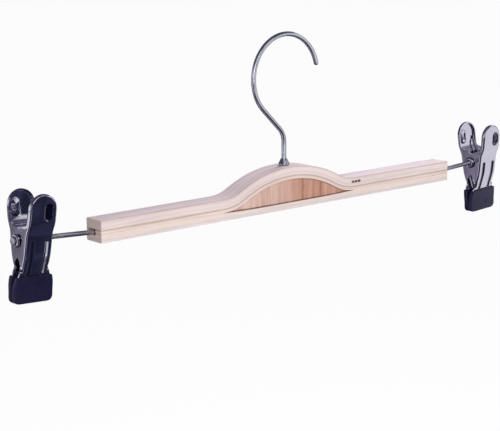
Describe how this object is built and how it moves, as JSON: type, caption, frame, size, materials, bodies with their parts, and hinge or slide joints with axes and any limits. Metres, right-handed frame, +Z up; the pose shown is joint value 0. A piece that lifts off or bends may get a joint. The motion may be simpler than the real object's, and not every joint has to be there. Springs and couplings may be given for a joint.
{
  "type": "trouser hanger",
  "caption": "Straight laminated wooden bar with a raised centre, a swivelling wire hook on top, and a sprung metal clip with dipped tips sliding on a rod at either end.",
  "frame": {"origin": "centre of the bar's flat underside", "axes": "+X along the bar towards the right clip, +Y through the bar's thickness towards the back, +Z up along the hook's stem"},
  "size_m": [0.3666, 0.0234, 0.1254],
  "materials": {
    "pale_wood": "pale laminated softwood, sanded and waxed",
    "insert_wood": "redder wood with dark streaks, sanded and waxed",
    "chrome": "bright chrome plate on steel",
    "black_coat": "soft dipped coat, satin"
  },
  "bodies": {
    "hook": {"hook_wire": "chrome"},
    "bar": {"upper_ply": "pale_wood", "middle_ply": "pale_wood", "lower_ply": "pale_wood", "hump_insert": "insert_wood", "hook_collar": "chrome", "hook_washer": "chrome", "left_rod": "chrome", "right_rod": "chrome"},
    "left_tube": {"left_hinge_tube": "chrome"},
    "left_rear": {"left_rear_jaw": "chrome", "left_rear_tip": "black_coat", "left_spring": "chrome"},
    "left_front": {"left_front_jaw": "chrome", "left_front_tip": "black_coat"},
    "right_tube": {"right_hinge_tube": "chrome"},
    "right_rear": {"right_rear_jaw": "chrome", "right_rear_tip": "black_coat", "right_spring": "chrome"},
    "right_front": {"right_front_jaw": "chrome", "right_front_tip": "black_coat"}
  },
  "joints": [
    {"name": "bar_swivel", "type": "hinge", "parent": "hook", "child": "bar", "pos_m": [0, 0, 0.0245], "axis": [0, 0, 1], "continuous": true},
    {"name": "left_slide", "type": "slide", "parent": "bar", "child": "left_tube", "axis": [0.9984, 0, -0.0558], "range_m": [0, 0.026]},
    {"name": "left_swing", "type": "hinge", "parent": "left_tube", "child": "left_rear", "pos_m": [-0.17024, 0.0003, 0.00726], "axis": [0.9984, 0, -0.0558], "continuous": true},
    {"name": "left_open", "type": "hinge", "parent": "left_rear", "child": "left_front", "pos_m": [-0.17024, 0.0003, 0.00726], "axis": [-0.9984, 0, 0.0558], "range_deg": [0, 36], "stiffness_Nm_per_rad": 0.12, "springref_deg": -68.75, "deforming": ["left_spring"]},
    {"name": "right_slide", "type": "slide", "parent": "bar", "child": "right_tube", "axis": [-0.9984, 0, -0.0558], "range_m": [0, 0.026]},
    {"name": "right_swing", "type": "hinge", "parent": "right_tube", "child": "right_rear", "pos_m": [0.17024, 0.0003, 0.00726], "axis": [0.9984, 0, 0.0558], "continuous": true},
    {"name": "right_open", "type": "hinge", "parent": "right_rear", "child": "right_front", "pos_m": [0.17024, 0.0003, 0.00726], "axis": [-0.9984, 0, -0.0558], "range_deg": [0, 36], "stiffness_Nm_per_rad": 0.12, "springref_deg": -68.75, "deforming": ["right_spring"]}
  ]
}
